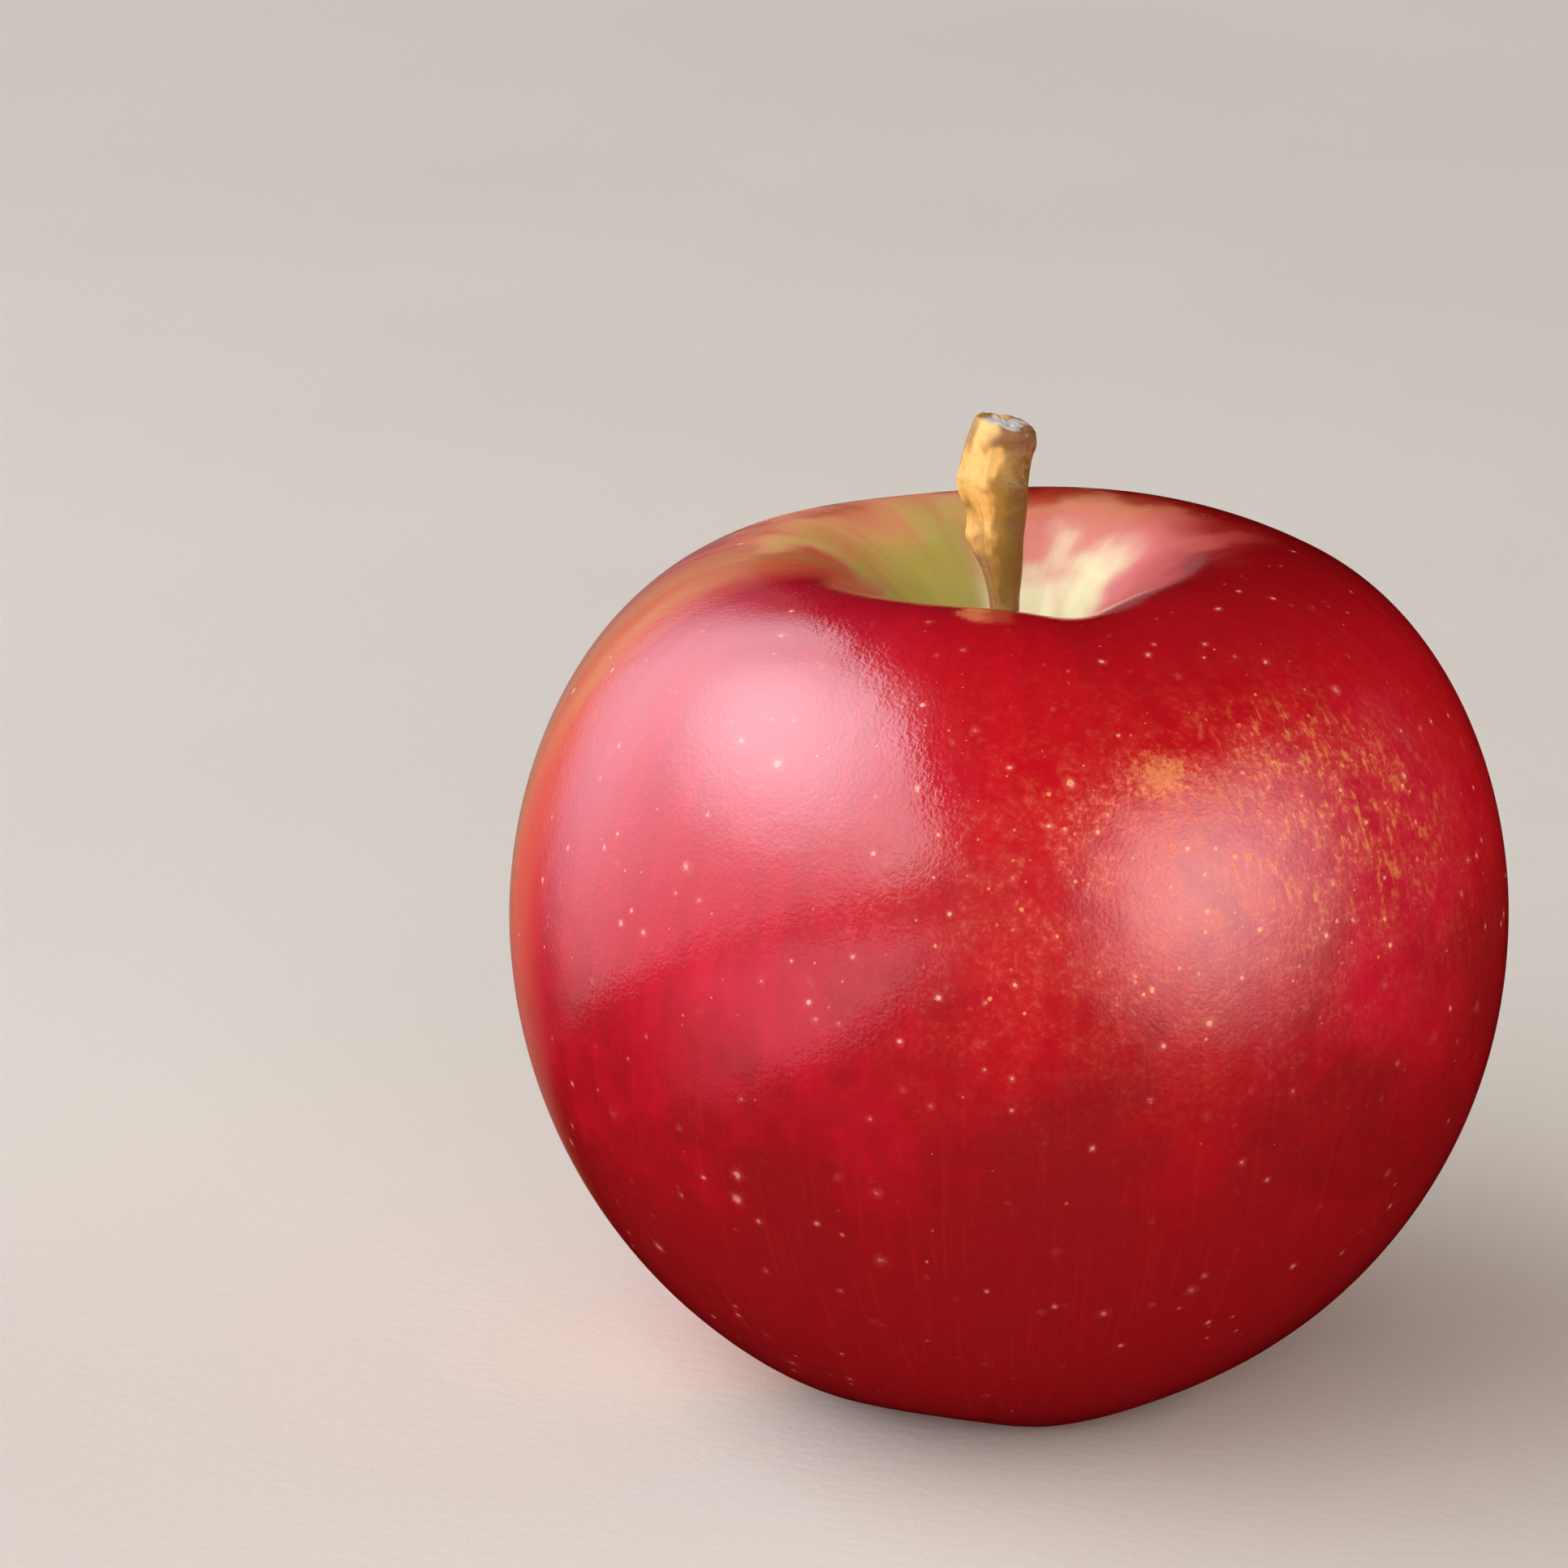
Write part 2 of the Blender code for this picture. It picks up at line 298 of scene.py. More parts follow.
def shoulder_change(direction):
    """How much higher or lower the shoulder is in each direction."""
    change = SHOULDER_LEAN * np.cos(direction - LEAN_TOWARDS)
    for middle, depth, half_width in SHOULDER_DIPS:
        change = change - depth * bump_at(direction, math.radians(middle), math.radians(half_width))
    return change * MM


def waves(direction, parts, seed):
    """Waves of several counts round the fruit, each turned by its own seeded angle."""
    turns = np.random.default_rng(seed).uniform(0, FULL_TURN, len(parts))
    return sum(share * np.cos(count * direction + turn)
               for (count, share), turn in zip(parts, turns))


def fruit_rings(sizes):
    """Rings of the fruit's surface, with the values its skin is coloured by."""
    section = fruit_section(sizes)
    step = np.gradient(section, axis=0)
    step = step / np.linalg.norm(step, axis=1)[:, None]
    along = np.concatenate([[0], np.cumsum(np.linalg.norm(np.diff(section, axis=0), axis=1))])
    rim_at = along[np.argmax(section[:, 1])]
    stand_at = along[len(section) - POINTS_PAST_STAND]
    direction = np.linspace(0, FULL_TURN, sizes.around, endpoint=False)[None, :]
    radius, height = section[:, :1], section[:, 1:]
    along = along[:, None]

    below = np.clip(1 - height / sizes.equator_height, 0, 1)
    above = np.clip((height - sizes.equator_height)
                    / (sizes.fruit_height - sizes.equator_height), 0, 1)
    clear = smooth_step((radius - PIT_RADIUS * MM)
                        / (sizes.base_ring_radius - PIT_RADIUS * MM))
    valley = 0.5 - 0.5 * np.cos(LOBES * (direction - FIRST_LOBE))
    near_ring = 1 - smooth_step((radius - sizes.base_ring_radius) / (LOBE_REACH * MM))

    # The relief that the solid doesn't carry: puckers in the cavity, dents and facets outside.
    inside = smooth_step(1.15 - along / rim_at)
    near_stalk = np.exp(-((along - 0.42 * rim_at) / (0.3 * rim_at)) ** 2)
    outside = (smooth_step((along - rim_at) / (DENTS_FADE_IN * MM))
               * smooth_step((stand_at - along) / (DENTS_FADE_OUT * MM)))
    relief = (sizes.fold_depth * inside * near_stalk * waves(direction, CAVITY_FOLDS, 3)
              + sizes.dent_depth * outside * waves(direction + 0.4 * above, FLANK_DENTS, 7)
              + 0.5 * sizes.dent_depth * outside * waves(direction, FACETS, 11))

    grown_height = (height + LOBE_HEIGHT * MM * valley * below ** 3 * clear * near_ring
                    + shoulder_change(direction) * above ** 2 * clear)
    flattened = np.maximum(0, grown_height - CONTACT_FLAT * MM * below ** 3)
    grown_height = np.where(below > 0, flattened, grown_height)
    grown_radius = radius - LOBE_RELIEF * MM * valley * below * clear
    grown_radius = grown_radius - step[:, 1:] * relief
    grown_height = grown_height + step[:, :1] * relief

    squeeze = 1 - (1 - DEPTH_OVER_WIDTH) * clear
    rings = grid(grown_radius * np.cos(direction), grown_radius * np.sin(direction) * squeeze,
                 grown_height)
    past_rim = (along - rim_at) / MM
    values = {
        "meridian": grid(np.cos(direction), np.sin(direction), along / sizes.fruit_radius),
        "past_rim": past_rim,
        "russet": russet_share(direction, past_rim),
        "patch": corky_patch(direction, past_rim),
    }
    return rings[::-1], {key: value[::-1] for key, value in values.items()}


def cloud(direction, past_rim, middle, half_width, distance, half_length):
    """A soft spot on the skin: degrees right of the front, and millimetres past the rim."""
    return (bump_at(direction, FRONT + math.radians(middle), math.radians(half_width))
            * np.exp(-((past_rim - distance) / half_length) ** 2))


def russet_share(direction, past_rim):
    """Where the skin is webbed with russet: a cloud on the ripe shoulder that trails downwards."""
    core = cloud(direction, past_rim, 30, 20, 22, 7)
    veil = cloud(direction, past_rim, 25, 38, 26, 11)
    return np.clip(core + 0.55 * veil, 0, 1)


def corky_patch(direction, past_rim):
    """One small corky patch at the top of the russet."""
    return cloud(direction, past_rim, 20, 5, 17, 2.2)


def build_fruit(sizes, colours):
    """The whole fruit as one closed skin."""
    return new_piece("apple_skin", *capped_tube(*fruit_rings(sizes)),
                     skin_material(sizes, colours))


# --- Stalk ---

# Height above the stalk's foot, middle to the right and back, half width and half depth.
STALK_STATIONS = (
    (0, 0, 0, 1.2, 1.2),
    (5.1, 0.02, 0, 1.08, 1.08),
    (9.6, 0, 0.1, 0.98, 1),
    (12.6, -0.05, 0.1, 0.99, 1.02),
    (15.7, -0.15, 0.2, 1.13, 1.15),
    (17.6, -0.22, 0.3, 1.42, 1.35),
    (18.9, -0.4, 0.3, 1.7, 1.62),
    (20.5, -0.64, 0.3, 2.02, 1.92),
    (22, -0.56, 0.4, 2.13, 2.05),
    (23, -0.66, 0.4, 2.34, 2.2),
    (24.8, -0.84, 0.4, 2.62, 2.4),
    (26.8, -0.49, 0.5, 2.52, 2.4),
    (28.3, -0.12, 0.5, 2.36, 2.3),
    (29, 0.02, 0.5, 2.2, 2.15),
)
STALK_RINGS = 120
STALK_AROUND = 72
# Nodules and scars: direction in degrees, height, width and depth in millimetres.
STALK_KNOBS = (
    (190, 20.8, 0.75, 0.22), (205, 19.4, 0.55, 0.14), (168, 22, 0.6, 0.16),
    (215, 24.9, 1.1, 0.16), (-35, 26, 0.7, -0.2), (-60, 24.6, 0.8, 0.12),
    (250, 22.8, 0.9, -0.1), (-20, 28.1, 0.7, 0.16), (-80, 27.6, 0.8, -0.14),
    (240, 27.8, 0.8, 0.14), (120, 25.5, 1, 0.18), (60, 21.5, 0.9, -0.12),
    (20, 23.6, 0.8, 0.1), (90, 17.5, 0.8, 0.08), (-100, 18.5, 0.7, 0.09),
)
STALK_TOP_SLANT = 0.26
END_SCAR_RINGS = 9


def build_stalk(colours):
    """The woody stalk, swollen, ridged and broken off at its top."""
    path = through(STALK_STATIONS, STALK_RINGS)
    rise, right, back, wide, deep = (path[:, k][:, None] for k in range(5))
    turn = np.linspace(0, FULL_TURN, STALK_AROUND, endpoint=False)[None, :]
    swollen = smooth_step((rise - 14) / 6)
    ridges = (0.045 * np.cos(3 * turn + 0.12 * rise) + 0.022 * np.cos(5 * turn - 0.2 * rise + 1)
              + 0.006 * np.cos(11 * turn + 0.5 * np.sin(0.9 * rise)))
    knobs = np.zeros_like(turn * rise)
    for towards, knob_rise, size, depth in STALK_KNOBS:
        across = turned_from(turn, math.radians(towards)) * (wide + deep) / 2
        knobs += depth * np.exp(-(across ** 2 + (rise - knob_rise) ** 2) / size ** 2)
    grow = 1 + ridges * (0.5 + 0.7 * swollen)
    x = right + (wide * grow + knobs) * np.cos(turn)
    y = back + (deep * grow + knobs) * np.sin(turn)
    z = rise - STALK_TOP_SLANT * (x - right) * smooth_step((rise - 24.5) / 4.5)
    rings = grid(x, y, z)

    # The broken end: rings that draw in over a rounded edge to a rough, hollowed face.
    scar = []
    edge = rings[-1]
    middle = edge.mean(0)
    for k in range(1, END_SCAR_RINGS + 1):
        inward = k / (END_SCAR_RINGS + 1)
        lift = 0.3 * math.sin(min(1, inward * 4) * math.pi / 2)
        rough = 0.1 * np.cos(4 * turn[0] + 5 * inward) + 0.07 * np.cos(9 * turn[0] - 7 * inward)
        ring = edge + (middle - edge) * inward
        ring[:, 2] += lift + rough * math.sin(math.pi * inward) - 0.35 * inward * inward
        scar.append(ring)
    rings = np.concatenate([rings, np.array(scar)])

    end_share = np.concatenate([np.zeros(STALK_RINGS), np.linspace(0.3, 1, END_SCAR_RINGS)])
    points, faces, values = capped_tube(rings, {
        "rise": rings[:, :, 2],
        "broken": end_share[:, None],
        "fibre": grid(np.cos(turn), np.sin(turn), rings[:, :, 2] / 4)})
    foot = np.array((0, 0, STALK_LOW.z))
    return new_piece("stalk", points * MM + foot, faces, values, stalk_material(colours))


# --- Calyx ---

# Distance from the axis, height below the pit's roof and half width along a sepal.
SEPAL_STATIONS = (
    (2.05, -2.2, 0.75),
    (2, -3.4, 1.05),
    (2.05, -4.6, 1.2),
    (2.4, -5.7, 1.05),
    (3, -6.6, 0.8),
    (3.7, -7.2, 0.5),
    (4.3, -7.3, 0.24),
    (4.55, -7, 0.08),
)
SEPAL_RINGS = 44
SEPAL_AROUND = 28
SEPAL_HALF_THICKNESS = 0.14


def build_sepal(index, sizes, material):
    """One dried sepal, curled back, cupped and wrinkled in its own way."""
    rng = np.random.default_rng(40 + index)
    roof = (sizes.basin_depth + sizes.pit_depth) / MM
    path = through(SEPAL_STATIONS, SEPAL_RINGS)
    out, rise, half = (path[:, k][:, None] for k in range(3))
    share = np.linspace(0, 1, SEPAL_RINGS)[:, None]
    lean = rng.uniform(-0.35, 0.35) * share ** 2
    curl = rng.uniform(0.1, 0.22)
    out = out + rng.uniform(-0.15, 0.15) * share
    rise = roof + rise + rng.uniform(-0.1, 0.3) * share ** 3
    forward = np.concatenate([np.gradient(out, axis=0), np.gradient(rise, axis=0)], axis=1)
    forward /= np.linalg.norm(forward, axis=1)[:, None]
    turn = np.linspace(0, FULL_TURN, SEPAL_AROUND, endpoint=False)[None, :]
    side = np.cos(turn)
    across = side * half * (1 + 0.07 * np.sin(9 * share + 2 * np.sign(side) + index))
    thick = SEPAL_HALF_THICKNESS * (0.35 + 0.65 * (half / half.max())) * np.sin(turn)
    lift = (thick - curl * side ** 2 * half + 0.05 * np.sin(7 * side + 11 * share + index) * half
            + 0.06 * np.exp(-(side / 0.16) ** 2) * (np.sin(turn) > 0))
    x = out - forward[:, 1:] * lift
    z = rise + forward[:, :1] * lift
    y = across + lean
    angle = math.radians(90) + index * FULL_TURN / LOBES
    rings = grid(x * math.cos(angle) - y * math.sin(angle),
                 x * math.sin(angle) + y * math.cos(angle), z)
    points, faces, values = capped_tube(rings, {
        "fibre": grid(across, thick * 2, share * 1.5)})
    return new_piece("dry_sepal_%d" % (index + 1), points * MM, faces, values, material)


FILAMENT_RINGS = 18
FILAMENT_AROUND = 8
FILAMENT_RADIUS = 0.085
ANTHER_RADIUS = 0.24
# Share of a turn between one stamen and the next.
GOLDEN_SHARE = 0.381966


def build_stamens(sizes, colours):
    """A tuft of dried stamens, joined as one piece."""
    rng = np.random.default_rng(5)
    top = STAMEN_HIGH.z / MM
    low = STAMEN_LOW.z / MM
    share = np.linspace(0, 1, FILAMENT_RINGS)[:, None]
    turn = np.linspace(0, FULL_TURN, FILAMENT_AROUND, endpoint=False)
    all_points, all_faces = [], []
    for index in range(sizes.stamens):
        angle = index * FULL_TURN * GOLDEN_SHARE + rng.uniform(-0.2, 0.2)
        start = 0.95 * math.sqrt((index + 0.5) / sizes.stamens)
        reach = rng.uniform(0.55, 1)
        bend = rng.uniform(-0.45, 0.45)
        out = start + 0.3 * share ** 2 * rng.uniform(-0.6, 1)
        swing = angle + bend * share ** 2
        radius = FILAMENT_RADIUS * (1 + 0.25 * np.sin(5 * share + index))
        radius = radius + ANTHER_RADIUS * np.exp(-((share - 0.93) / 0.055) ** 2)
        radius = radius * np.clip((1.02 - share) / 0.05, 0.15, 1)
        rings = grid(out * np.cos(swing) + radius * np.cos(turn),
                     out * np.sin(swing) + radius * np.sin(turn) * 0.8,
                     top - (top - low) * reach * share)
        points, faces, _ = capped_tube(rings[::-1], {})
        offset = sum(len(p) for p in all_points)
        all_points.append(points)
        all_faces += [tuple(offset + corner for corner in face) for face in faces]
    points = np.concatenate(all_points)
    return new_piece(
        "dry_stamens", points * MM, all_faces, {"fibre": points * 0.7},
        dry_material("dry_stamen", colours.stamen_brown, colours.calyx_grey, 14))


# --- Shader nodes ---

class Nodes:
    """Short calls that add nodes to one tree, mostly giving back an output socket."""

    def __init__(self, tree):
        self.tree = tree

    def add(self, kind, inputs=None, **settings):
        """A new node with its settings, and its inputs set to values or linked to sockets."""
        made = self.tree.nodes.new(kind)
        for key, value in settings.items():
            setattr(made, key, value)
        for key, value in (inputs or {}).items():
            self.give(made.inputs[key], value)
        return made

    def give(self, socket, value):
        """Sets an input to a value, or links an output to it."""
        if isinstance(value, bpy.types.NodeSocket):
            self.tree.links.new(value, socket)
        else:
            socket.default_value = value

    def attribute(self, name, output="Fac"):
        """A point attribute of the piece, as a number or as a vector."""
        return self.add("ShaderNodeAttribute", attribute_name=name).outputs[output]

    def calc(self, operation, a, b=0):
        """One operation on two numbers."""
        return self.add("ShaderNodeMath", {0: a, 1: b}, operation=operation).outputs[0]

    def times(self, first, *others):
        """The product of numbers."""
        for other in others:
            first = self.calc("MULTIPLY", first, other)
        return first

    def plus(self, first, *others):
        """The sum of numbers."""
        for other in others:
            first = self.calc("ADD", first, other)
        return first

    def vector(self, operation, inputs, output=0):
        """One operation on vectors."""
        return self.add("ShaderNodeVectorMath", inputs, operation=operation).outputs[output]

    def parts(self, vector):
        """The three numbers of a vector."""
        return self.add("ShaderNodeSeparateXYZ", {0: vector}).outputs

    def ease(self, value, low, high, at_low=0, at_high=1):
        """Smoothly turns low to high into at_low to at_high."""
        inputs = {"Value": value, "From Min": low, "From Max": high, "To Min": at_low,
                  "To Max": at_high}
        made = self.add("ShaderNodeMapRange", inputs, interpolation_type="SMOOTHSTEP")
        return made.outputs["Result"]

    def blend(self, share, first, second):
        """A colour between two, by a share."""
        made = self.add("ShaderNodeMix", {0: share}, data_type="RGBA")
        for socket, value in ((6, first), (7, second)):
            is_socket = isinstance(value, bpy.types.NodeSocket)
            self.give(made.inputs[socket], value if is_socket else (*value, 1))
        return made.outputs[2]

    def coats(self, base, *rows):
        """Colours laid over a base in turn, each by the product of its shares."""
        for tone, *shares in rows:
            base = self.blend(self.times(*shares), base, tone)
        return base

    def noise(self, vector, scale, detail=2, roughness=0.5, offset=0):
        """Soft noise from 0 to 1, moved aside by an offset so that two never match."""
        moved = self.vector("ADD", {0: vector, 1: (offset, offset * 0.7, offset * 1.3)})
        return self.add("ShaderNodeTexNoise", {
            "Vector": moved, "Scale": scale, "Detail": detail,
            "Roughness": roughness}).outputs["Fac"]

    def in_millimetres(self):
        """Object coordinates, in model millimetres."""
        place = self.add("ShaderNodeTexCoord").outputs["Object"]
        return self.vector("SCALE", {0: place, "Scale": 1 / MM})

    def grain(self, vector, fineness, stretch, offset=0):
        """The drawn_out_grain group with its own values."""
        return self.add("ShaderNodeGroup", {
            "Vector": vector, "Fineness": fineness, "Length": stretch,
            "Offset": offset}, node_tree=drawn_out_grain()).outputs

    def speckle(self, vector, cell_size, dot_radius, share):
        """The speckle group with its own values."""
        return self.add("ShaderNodeGroup", {
            "Vector": vector, "Cell Size": cell_size, "Dot Radius": dot_radius,
            "Share": share}, node_tree=speckle()).outputs


def new_group(name, numbers, outputs):
    """A shader node group with a vector and number inputs, its nodes and its end sockets."""
    group = bpy.data.node_groups.new(name, "ShaderNodeTree")
    group.interface.new_socket("Vector", in_out="INPUT", socket_type="NodeSocketVector")
    for socket, value in numbers.items():
        made = group.interface.new_socket(
            socket, in_out="INPUT", socket_type="NodeSocketFloat")
        made.default_value = value
    for socket in outputs:
        group.interface.new_socket(socket, in_out="OUTPUT", socket_type="NodeSocketFloat")
    n = Nodes(group)
    return n, n.add("NodeGroupInput").outputs, n.add("NodeGroupOutput").inputs


def drawn_out_grain():
    """Group: noise drawn out along Z, for streaks of skin and fibres of wood."""
    if "drawn_out_grain" in bpy.data.node_groups:
        return bpy.data.node_groups["drawn_out_grain"]
    n, given, result = new_group(
        "drawn_out_grain", {"Fineness": 20, "Length": 0.1, "Offset": 0}, ["Grain", "Sharp Grain"])
    fineness = given["Fineness"]
    stretch = n.add("ShaderNodeCombineXYZ", {
        0: fineness, 1: fineness, 2: n.times(fineness, given["Length"])}).outputs[0]
    scaled = n.vector("MULTIPLY", {0: given["Vector"], 1: stretch})
    moved = n.vector("ADD", {0: scaled, 1: given["Offset"]})
    grain = n.add("ShaderNodeTexNoise", {"Vector": moved, "Scale": 1, "Detail": 3}).outputs["Fac"]
    n.give(result["Grain"], grain)
    n.give(result["Sharp Grain"], n.ease(grain, 0.52, 0.7))
    return n.tree


def speckle():
    """Group: small round dots, one in some cells, with a paler halo and a darker heart."""
    if "speckle" in bpy.data.node_groups:
        return bpy.data.node_groups["speckle"]
    n, given, result = new_group(
        "speckle", {"Cell Size": 4, "Dot Radius": 0.4, "Share": 0.8}, ["Dot", "Halo", "Heart"])
    cells = n.add("ShaderNodeTexVoronoi", {
        "Vector": given["Vector"], "Randomness": 1,
        "Scale": n.calc("DIVIDE", 1, given["Cell Size"])}).outputs
    picked = n.add("ShaderNodeSeparateColor", {0: cells["Color"]}).outputs
    ragged = n.noise(given["Vector"], 3.2, 1, offset=3)
    away = n.times(cells["Distance"], given["Cell Size"], n.ease(ragged, 0.2, 0.8, 0.75, 1.25))
    size = n.times(given["Dot Radius"], n.ease(picked[1], 0, 1, 0.45, 1))
    nearness = n.calc("DIVIDE", away, size)
    kept = n.calc("LESS_THAN", picked[0], given["Share"])
    for key, none_at, full_at in (("Dot", 1.15, 0.35), ("Halo", 2.4, 0.7), ("Heart", 0.36, 0.16)):
        n.give(result[key], n.times(n.ease(nearness, none_at, full_at), kept))
    return n.tree


def new_material(name, roughness, specular=0.5):
    """A material with a plain Principled shader, its nodes and the shader's inputs."""
    material = bpy.data.materials.new(name)
    material.use_nodes = True
    surface = material.node_tree.nodes["Principled BSDF"].inputs
    surface["Roughness"].default_value = roughness
    surface["Specular IOR Level"].default_value = specular
    return material, Nodes(material.node_tree), surface


def finish_material(n, surface, base, roughness, height, height_unit):
    """Links the colour, roughness and relief of a surface to its shader."""
    relief = n.add("ShaderNodeBump", {"Height": height, "Distance": height_unit})
    n.give(surface["Base Color"], base)
    n.give(surface["Roughness"], roughness)
    n.give(surface["Normal"], relief.outputs["Normal"])


def skin_material(sizes, colours):
    """Waxy red skin: streaks, pores, russet netting, and a green and cream cavity."""
    material, n, surface = new_material("waxy_skin", 0.2)
    surface["IOR"].default_value = SKIN_IOR
    place = n.in_millimetres()
    meridian = n.attribute("meridian", "Vector")
    rightward, backward = n.parts(meridian)[:2]
    # -1 to 1 round the fruit: 0 in front, 0.5 on its right, -0.5 on its left.
    direction = n.calc("ARCTAN2", rightward, n.times(backward, -1))
    direction = n.calc("DIVIDE", direction, math.pi)
    past_rim = n.attribute("past_rim")
    russet = n.attribute("russet")
    fine = n.grain(meridian, 85, 0.05)
    broad = n.grain(meridian, 16, 0.1, 9)["Grain"]
    clouds = n.noise(place, 0.09, 3, 0.6, 2)

    # Red of the flank, deeper towards the base as partly painted shade, crimson in two flushes,
    # with fine streaks.
    lower = n.plus(past_rim, n.ease(clouds, 0.2, 0.8, -9, 9))
    drifted = n.plus(direction, n.ease(clouds, 0.2, 0.8, -0.06, 0.06))
    right_flush = n.times(n.ease(drifted, 0.1, 0.2), n.ease(drifted, 0.42, 0.28),
                          n.ease(past_rim, 12, 20), n.ease(past_rim, 50, 32))
    left_flush = n.times(n.ease(drifted, 0.02, -0.22), n.ease(direction, -0.98, -0.7))
    flush = n.calc("MAXIMUM", left_flush, right_flush)
    mottle = n.ease(n.noise(place, 1.1, 4, 0.7, 15), 0.45, 0.7)
    red = n.coats(
        colours.ripe_red,
        (colours.wine_red, n.ease(lower, 20, 54)),
        (colours.crimson, flush, n.ease(lower, 48, 28)),
        (colours.streak_red, mottle, n.ease(past_rim, 55, 20, 0.05, 0.22)),
        (colours.streak_red, fine["Sharp Grain"], 0.08),
        (colours.wine_red, n.ease(broad, 0.35, 0.62, 0.16, 0)))

    # Shaded side: the red thins out to salmon and tan, with soft red stripes at its middle.
    # Then a deeper red on the right of the shoulder: painted shade.
    stripe = n.ease(n.grain(meridian, 15, 0.08, 33)["Grain"], 0.34, 0.66)
    back_edge = n.plus(direction, n.ease(stripe, 0, 1, -0.05, 0.05))
    thin = n.times(n.ease(direction, -0.35, -0.44), n.ease(back_edge, -0.98, -0.66),
                   n.ease(past_rim, 94, 72))
    tan = n.ease(n.grain(meridian, 3.6, 0.25, 21)["Grain"], 0.42, 0.66)
    red = n.coats(
        red,
        (colours.salmon, thin, 0.85),
        (colours.shade_tan, thin, tan, n.ease(direction, -0.62, -0.5, 0.3, 0.7)),
        (colours.ripe_red, stripe, thin, n.ease(direction, -0.47, -0.62, 0.1, 0.85)),
        (colours.wine_red, n.ease(past_rim, 17, 5), n.ease(drifted, 0.02, 0.2),
         n.ease(direction, 0.98, 0.7), 0.45))

    # Cavity: green on the shaded side, cream by the stalk, rose and coral towards the rim.
    soft = n.grain(meridian, 5, 0.5, 4)["Grain"]
    blotches = n.noise(place, 0.16, 2, 0.5, 7)
    past = n.plus(past_rim, n.ease(blotches, 0.3, 0.7, -3, 3), n.ease(soft, 0.3, 0.7, -0.3, 0.3))
    edge = n.plus(direction, n.ease(blotches, 0.3, 0.7, -0.08, 0.08))
    shaded_side = n.times(n.ease(edge, -0.35, -0.6), n.ease(direction, -1, -0.88))
    turned = n.calc("ABSOLUTE", direction)
    ripe_side = n.times(n.ease(direction, 0.12, 0.32), n.ease(direction, 0.75, 0.5))
    deep = n.plus(past, n.times(ripe_side, 5.5))
    rim_tone = n.blend(n.ease(turned, 0.62, 0.85), colours.cavity_coral, colours.cavity_tan)
    shaded = n.blend(n.ease(past, -8, 2), colours.cavity_green, colours.cavity_tan)
    inner = n.coats(
        colours.cavity_rose,
        (colours.cavity_cream, n.ease(deep, -5.5, -13)),
        (rim_tone, n.ease(deep, -9, -1.5)),
        (shaded, shaded_side),
        (colours.cavity_orange, n.ease(soft, 0.45, 0.75), n.ease(past_rim, -13, -3, 0, 0.45)),
        (colours.cavity_coral, n.ease(broad, 0.45, 0.7), 0.06))
    reach = n.plus(n.ease(turned, 0.25, 0.6, -9, -1), n.ease(shaded_side, 0, 1, 0, 4))
    into_cavity = n.ease(n.calc("SUBTRACT", past, reach), 6.5, -7)
    basin_edge = n.plus(past_rim, n.ease(broad, 0.3, 0.7, -3, 3))

    # Russet: a soft pale veil and a fine web in clouds, flecks drawn out along the meridians,
    # yellow dots and one corky patch.
    web = n.noise(place, 1.9, 5, 0.72, 5)
    drift = n.noise(place, 0.33, 3, 0.65, 8)
    wisps = n.times(russet, n.ease(drift, 0.34, 0.6))
    netting = n.times(n.ease(web, 0.5, 0.68), wisps)
    webbed = n.ease(russet, 0.12, 0.5)
    drawn = n.plus(n.grain(meridian, 55, 0.42, 30)["Grain"],
                   n.ease(web, 0.2, 0.8, -0.1, 0.1), n.ease(drift, 0.3, 0.7, -0.05, 0.03))
    yellow = n.speckle(place, 1.25, 0.2, n.times(webbed, 0.85))["Dot"]
    patch = n.plus(n.attribute("patch"), n.ease(web, 0.3, 0.7, -0.3, 0.3))
    patch = n.ease(patch, 0.25, 1.1)
    base = n.coats(
        red,
        (inner, into_cavity),
        (colours.basin_olive, n.ease(basin_edge, 90, 98)),
        (colours.russet_pink, wisps, n.ease(web, 0.3, 0.62, 0.15, 0.62)),
        (colours.russet_rose, netting, 0.5),
        (colours.russet_orange, n.ease(drawn, 0.52, 0.72), n.ease(direction, 0.1, 0.22),
         n.ease(past_rim, 34, 24), webbed, 0.55),
        (colours.pore_orange, yellow, 0.65),
        (colours.russet_orange, patch, 0.55))

    # Pores of three sizes, close together on the shoulder and in the russet, few at the base.
    upper = n.ease(past_rim, 58, 22)
    strength = n.times(n.ease(past_rim, -3, 2), n.ease(upper, 0, 1, 0.45, 1))
    large = n.speckle(place, 3.3, 0.37, n.ease(russet, 0, 0.5, 0.35, 0.85))
    medium = n.speckle(place, 2, 0.23, n.plus(n.ease(upper, 0, 1, 0.35, 0.65),
                                              n.ease(russet, 0.1, 0.6, 0, 0.35)))
    small = n.speckle(place, 1.05, 0.12, n.times(upper, n.ease(russet, 0, 0.5, 0.35, 0.9)))
    halo = n.calc("MAXIMUM", large["Halo"], medium["Halo"])
    dots = n.times(n.calc("MAXIMUM", large["Dot"], medium["Dot"]), strength)
    specks = n.times(small["Dot"], strength, 0.55)
    pore_tone = n.blend(n.ease(russet, 0, 0.5), colours.pore_cream, colours.pore_orange)
    base = n.coats(
        base,
        (colours.halo_pink, halo, strength, 0.34),
        (pore_tone, n.calc("MAXIMUM", dots, specks), 0.85),
        (colours.pore_brown, large["Heart"], strength, 0.6))

